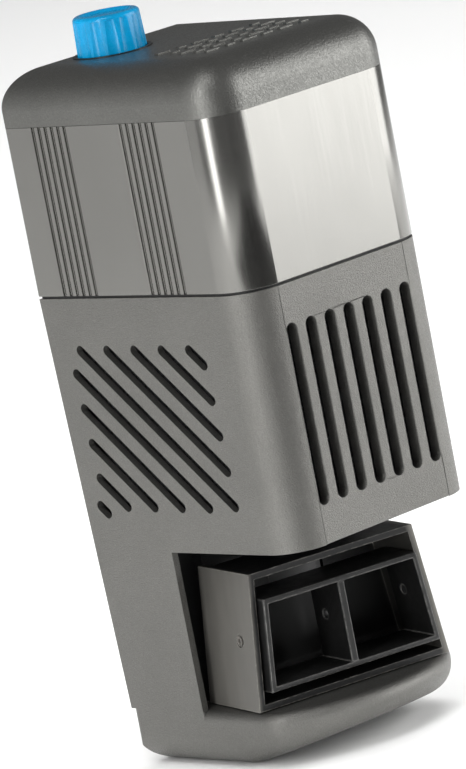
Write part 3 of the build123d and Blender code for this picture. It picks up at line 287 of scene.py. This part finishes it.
def blue_gloss(name, colour):
    """Glossy dyed plastic with soft depth in its colour and hairline rubbing."""
    s = Shader(name)
    depth = s.noise(110.0, 3.0, 0.5)
    s.link(
        s.mix(s.ramp(depth, (0.3, 0.0), (0.7, 1.0)), scaled(colour, 0.85), scaled(colour, 1.12)),
        s.bsdf.inputs["Base Color"],
    )
    s.link(s.ramp(s.noise(700.0, 3.0), (0.3, 0.22), (0.7, 0.32)), s.bsdf.inputs["Roughness"])
    s.set(Specular_IOR_Level=0.3, Coat_Weight=0.08, Coat_Roughness=0.15)
    s.bump(s.noise(1500.0, 2.0), 0.05, 0.00005)
    return s.material


def foam(name, colour):
    """Open-cell filter foam: pores painted dark as painted shade, between paler cell walls."""
    s = Shader(name)
    cell = s.cells(900.0, "Distance")
    # painted shade: cell centres darkened where shade falls inside the pores, cell walls lightened
    base = s.mix(s.ramp(cell, (0.15, 0.0), (0.6, 1.0)), scaled(colour, 0.3), scaled(colour, 1.7))
    s.link(base, s.bsdf.inputs["Base Color"])
    s.link(s.ramp(cell, (0.0, 0.85), (1.0, 1.0)), s.bsdf.inputs["Roughness"])
    s.bump(cell, 0.8, 0.0005)
    return s.material


def striped(name, colour, gap, pitch, axis, rough, metallic):
    """Stacked sheets or wound wire: fine bands along one axis."""
    s = Shader(name)
    wave = s.add("ShaderNodeTexWave", wave_type="BANDS", bands_direction=axis, wave_profile="SIN")
    wave.inputs["Scale"].default_value = 1.0 / (pitch * 3.18)
    wave.inputs["Distortion"].default_value = 0.15
    s.link(s.coords, wave.inputs["Vector"])
    bands = s.mix(s.ramp(wave.outputs["Fac"], (0.15, 0.0), (0.5, 1.0)), gap, colour)
    s.link(bands, s.bsdf.inputs["Base Color"])
    s.link(s.ramp(s.noise(500.0, 3.0), (0.3, rough - 0.08), (0.7, rough + 0.1)), s.bsdf.inputs["Roughness"])
    s.set(Metallic=metallic)
    s.bump(wave.outputs["Fac"], 0.5, 0.00015)
    return s.material


def milky(name, colour):
    """Translucent milky tube."""
    s = Shader(name)
    s.link(
        s.mix(s.ramp(s.noise(90.0, 4.0), (0.35, 0.0), (0.7, 1.0)), scaled(colour, 0.9), scaled(colour, 1.08)),
        s.bsdf.inputs["Base Color"],
    )
    s.link(s.ramp(s.noise(500.0, 3.0), (0.3, 0.2), (0.7, 0.34)), s.bsdf.inputs["Roughness"])
    s.set(Transmission_Weight=0.45, IOR=1.45)
    s.bump(s.noise(1200.0, 2.0), 0.06, 0.00005)
    return s.material


MATERIALS = {
    "casing": metallic_grain("casing_grey", (0.195, 0.192, 0.18), 0.38, 2900.0, 0.10, 0.95, 0.80),
    "lid": metallic_grain("lid_grey", (0.17, 0.17, 0.16), 0.36, 2200.0, 0.10, 0.6, 0.8),
    "outlet": outlet_plastic("outlet_grey", (0.37, 0.355, 0.32), (0.006, 0.006, 0.006)),
    "pin_grey": outlet_plastic("pin_grey", (0.30, 0.28, 0.25), (0.02, 0.02, 0.02)),
    "nozzle": satin_plastic("nozzle_charcoal", (0.010, 0.010, 0.010), 0.42, worn=0.42, bump=0.3),
    "gloss_grey": gloss_shell("head_gloss", (0.215, 0.212, 0.20)),
    "black_rubber": rubber("black_rubber", (0.012, 0.012, 0.012)),
    "cup_rubber": rubber("cup_rubber", (0.02, 0.02, 0.021), 0.4),
    "black_plastic": satin_plastic("black_plastic", (0.014, 0.014, 0.014), 0.4),
    "white_plastic": satin_plastic("white_plastic", (0.72, 0.72, 0.69), 0.38),
    "blue": blue_gloss("knob_blue", (0.0, 0.40, 0.80)),
    "foam": foam("filter_foam", (0.03, 0.031, 0.033)),
    "clear_tube": milky("milky_tube", (0.72, 0.74, 0.73)),
    "lamination": striped("laminations", (0.33, 0.33, 0.34), (0.05, 0.045, 0.04), 0.0005, "Y", 0.42, 0.9),
    "copper": striped("enamelled_copper", (0.72, 0.27, 0.09), (0.16, 0.05, 0.02), 0.00035, "Z", 0.3, 0.85),
    "steel": striped("turned_steel", (0.62, 0.61, 0.59), (0.42, 0.41, 0.40), 0.0004, "Z", 0.3, 1.0),
    "magnet": rubber("ferrite", (0.045, 0.045, 0.05), 0.5),
    "ceramic": satin_plastic("ceramic", (0.86, 0.85, 0.80), 0.25),
}

slot_of = {row["node"]: row["material_slot"] for row in frame["record"]["subparts"]}
for name, obj in nodes.items():
    obj.data.materials.clear()
    obj.data.materials.append(MATERIALS[slot_of[name]])


# ---------------------------------------------------------------- soft edges on moulded pieces
def soften(names, width):
    """Rounds the sharp edges of CAD pieces a little, as a mould leaves them."""
    for name in names:
        weld = nodes[name].modifiers.new("weld", "WELD")
        weld.merge_threshold = 1e-6
        bevel = nodes[name].modifiers.new("bevel", "BEVEL")
        bevel.width = width
        bevel.segments = 2
        bevel.limit_method = "ANGLE"
        bevel.angle_limit = radians(40)
        bevel.use_clamp_overlap = True


# ---------------------------------------------------------------- foam
FOAM_CORNER = 0.004
FOAM_STEP = 0.0016
FOAM_BACK_LEAN = 0.0384      # how far the back comes forward per metre going down
FOAM_HOLE_X = -0.011
FOAM_HOLE_Y = 0.0237
FOAM_HOLE_R = 0.0054
PORE_DEPTH = 0.0011
CUT_ROUND = 0.0012
FOAM_END_BANDS = 14          # rings of quads from the rim to the hole, top and bottom


def rounded_outline(low, high, corner, step):
    """Points and outward normals round a rectangle with rounded corners."""
    points = []
    centres = (
        (high.x - corner, high.y - corner, 0.0),
        (low.x + corner, high.y - corner, 90.0),
        (low.x + corner, low.y + corner, 180.0),
        (high.x - corner, low.y + corner, 270.0),
    )
    arc = max(3, int(corner * 1.571 / step))
    corners = []
    for x, y, start in centres:
        for i in range(arc + 1):
            turn = radians(start + 90.0 * i / arc)
            out = Vector((cos(turn), sin(turn), 0.0))
            corners.append((Vector((x, y, 0.0)) + out * corner, out))
    for (place, out), (after, out_after) in zip(corners, corners[1:] + corners[:1]):
        points.append((place, out))
        gap = (after - place).length
        count = int(gap / step)
        if count > 1 and gap > 2 * step:
            for i in range(1, count):
                points.append((place.lerp(after, i / count), out.lerp(out_after, i / count).normalized()))
    return points


def pore(place):
    """Depth of the torn cells at a point on the foam's skin."""
    fine = noise.noise(place * 700.0)
    broad = noise.noise(place * 260.0)
    return PORE_DEPTH * (0.35 + 0.65 * max(0.0, 0.6 * fine + 0.4 * broad))


def skin_of_rings(mesh, rings):
    """Quads between rings that have the same number of points."""
    for lower, upper in zip(rings, rings[1:]):
        count = len(lower)
        for i in range(count):
            mesh.faces.new((lower[i], lower[(i + 1) % count], upper[(i + 1) % count], upper[i]))


def foam_block():
    """Foam cut to the compartment, with torn pores and a hole for the air riser."""
    low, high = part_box("foam_block")
    outline = rounded_outline(low, high, FOAM_CORNER, FOAM_STEP)
    hole = Vector((FOAM_HOLE_X, FOAM_HOLE_Y, 0.0))
    middle_y = (low.y + high.y) / 2
    mesh = bmesh.new()
    levels = max(2, int((high.z - low.z) / FOAM_STEP))
    heights = [low.z + (high.z - low.z) * i / levels for i in range(levels + 1)]
    outer = []
    inner = []
    for z in heights:
        cut = max(0.0, CUT_ROUND - min(z - low.z, high.z - z))
        outer_ring = []
        inner_ring = []
        for flat, out in outline:
            place = Vector((flat.x, flat.y, z))
            toward_back = max(0.0, flat.y - middle_y) / (high.y - middle_y)
            place.y -= toward_back * (high.z - z) * FOAM_BACK_LEAN
            place -= out * (pore(place) + cut)
            outer_ring.append(mesh.verts.new(place))
            toward = Vector((flat.x, flat.y, 0.0)) - hole
            toward.normalize()
            bore = Vector((hole.x, hole.y, z)) + toward * (FOAM_HOLE_R + 0.3 * PORE_DEPTH + cut * 0.5)
            inner_ring.append(mesh.verts.new(bore))
        outer.append(outer_ring)
        inner.append(inner_ring)
    skin_of_rings(mesh, outer)
    skin_of_rings(mesh, inner[::-1])
    # top and bottom: bands of quads from the outer rim to the hole
    for rim, bore, sign in ((outer[-1], inner[-1], 1.0), (outer[0], inner[0], -1.0)):
        rings = [rim]
        for band in range(1, FOAM_END_BANDS):
            ring = []
            for start, end in zip(rim, bore):
                place = start.co.lerp(end.co, band / FOAM_END_BANDS)
                place.z -= sign * 0.6 * pore(place)
                ring.append(mesh.verts.new(place))
            rings.append(ring)
        rings.append(bore)
        skin_of_rings(mesh, rings)
    bmesh.ops.recalc_face_normals(mesh, faces=mesh.faces)
    data = bpy.data.meshes.new("filter_foam")
    mesh.to_mesh(data)
    mesh.free()
    piece = bpy.data.objects.new("filter_foam", data)
    scene.collection.objects.link(piece)
    data.materials.append(MATERIALS["foam"])
    for polygon in data.polygons:
        polygon.use_smooth = True
    return piece


piece = foam_block()
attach(piece, "housing")
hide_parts("foam_block")

soften(["front_grille", "outlet_box", "nozzle", "head_shell"], 0.00035)

# ---------------------------------------------------------------- studio
def panel(name, size_x, size_y):
    """A flat panel centred on the origin, facing +Z."""
    mesh = bmesh.new()
    bmesh.ops.create_grid(mesh, x_segments=1, y_segments=1, size=0.5)
    bmesh.ops.scale(mesh, vec=(size_x, size_y, 1.0), verts=mesh.verts)
    data = bpy.data.meshes.new(name)
    mesh.to_mesh(data)
    mesh.free()
    obj = bpy.data.objects.new(name, data)
    scene.collection.objects.link(obj)
    return obj


def around(azimuth, distance, height=0.0):
    """A point round the object; azimuth runs from -Y towards +X."""
    a = radians(azimuth)
    return Vector((sin(a) * distance, -cos(a) * distance, height))


floor = panel("floor", 30.0, 30.0)
floor_shader = Shader("studio_floor")
floor_shader.set(Base_Color=(0.93, 0.93, 0.925, 1.0), Roughness=0.9, Specular_IOR_Level=0.1)
floor.data.materials.append(floor_shader.material)
floor.location.z = cad_low.z - 0.0002

# black card on the floor, which the rounded front corner reflects as its dark strip;
# the camera doesn't see it, but it still shades the floor under it
card = panel("black_card", CARD_SIZE[0], CARD_SIZE[1])
card_shader = Shader("black_card")
card_shader.set(Base_Color=(0.01, 0.01, 0.01, 1.0), Roughness=1.0, Specular_IOR_Level=0.0)
card.data.materials.append(card_shader.material)
card.location = around(CARD_AZIMUTH, CARD_DISTANCE, cad_low.z + 0.001)
card.rotation_euler.z = radians(CARD_AZIMUTH)
card.visible_camera = False


def area_light(name, azimuth, height, distance, size, power, target):
    """A softbox at a height and distance, aimed at the target."""
    data = bpy.data.lights.new(name, "AREA")
    data.shape = "RECTANGLE"
    data.size, data.size_y = size
    data.energy = power
    light = bpy.data.objects.new(name, data)
    light.location = around(azimuth, distance, height)
    aim = light.location - target
    light.rotation_euler = aim.to_track_quat("Z", "Y").to_euler()
    light.visible_camera = False
    scene.collection.objects.link(light)
    return light


middle = (cad_low + cad_high) / 2
for light in LIGHTS:
    area_light(*light, middle)
floor_light = area_light("floor_light", *FLOOR_LIGHT, Vector((0.4, 0.4, 0.0)))
lit_floor = bpy.data.collections.new("lit_floor")
lit_floor.objects.link(floor)
floor_light.light_linking.receiver_collection = lit_floor

world = bpy.data.worlds.new("studio_air")
world.use_nodes = True
world.node_tree.nodes["Background"].inputs["Color"].default_value = (1.0, 1.0, 1.0, 1.0)
world.node_tree.nodes["Background"].inputs["Strength"].default_value = WORLD_STRENGTH
scene.world = world

# ---------------------------------------------------------------- camera
CAMERA_AZIMUTH = -42.56
CAMERA_ELEVATION = 10.29
CAMERA_ROLL = -10.97
CAMERA_DISTANCE = 1.9133
CAMERA_TARGET = Vector((-0.00967, 0.00013, 0.11531))
LENS = 289.35

azimuth, elevation, roll = (radians(v) for v in (CAMERA_AZIMUTH, CAMERA_ELEVATION, CAMERA_ROLL))
back = Vector((sin(azimuth) * cos(elevation), -cos(azimuth) * cos(elevation), sin(elevation)))
right = Vector((cos(azimuth), sin(azimuth), 0.0))
up = back.cross(right)
rolled_right = cos(roll) * right + sin(roll) * up
rolled_up = -sin(roll) * right + cos(roll) * up
camera_data = bpy.data.cameras.new("camera")
camera_data.sensor_width = 36.0
camera_data.sensor_height = 36.0
camera_data.sensor_fit = "AUTO"
camera_data.lens = LENS
camera = bpy.data.objects.new("camera", camera_data)
scene.collection.objects.link(camera)
turn = Matrix((rolled_right, rolled_up, back)).transposed().to_4x4()
camera.matrix_world = Matrix.Translation(CAMERA_TARGET + back * CAMERA_DISTANCE) @ turn
scene.camera = camera
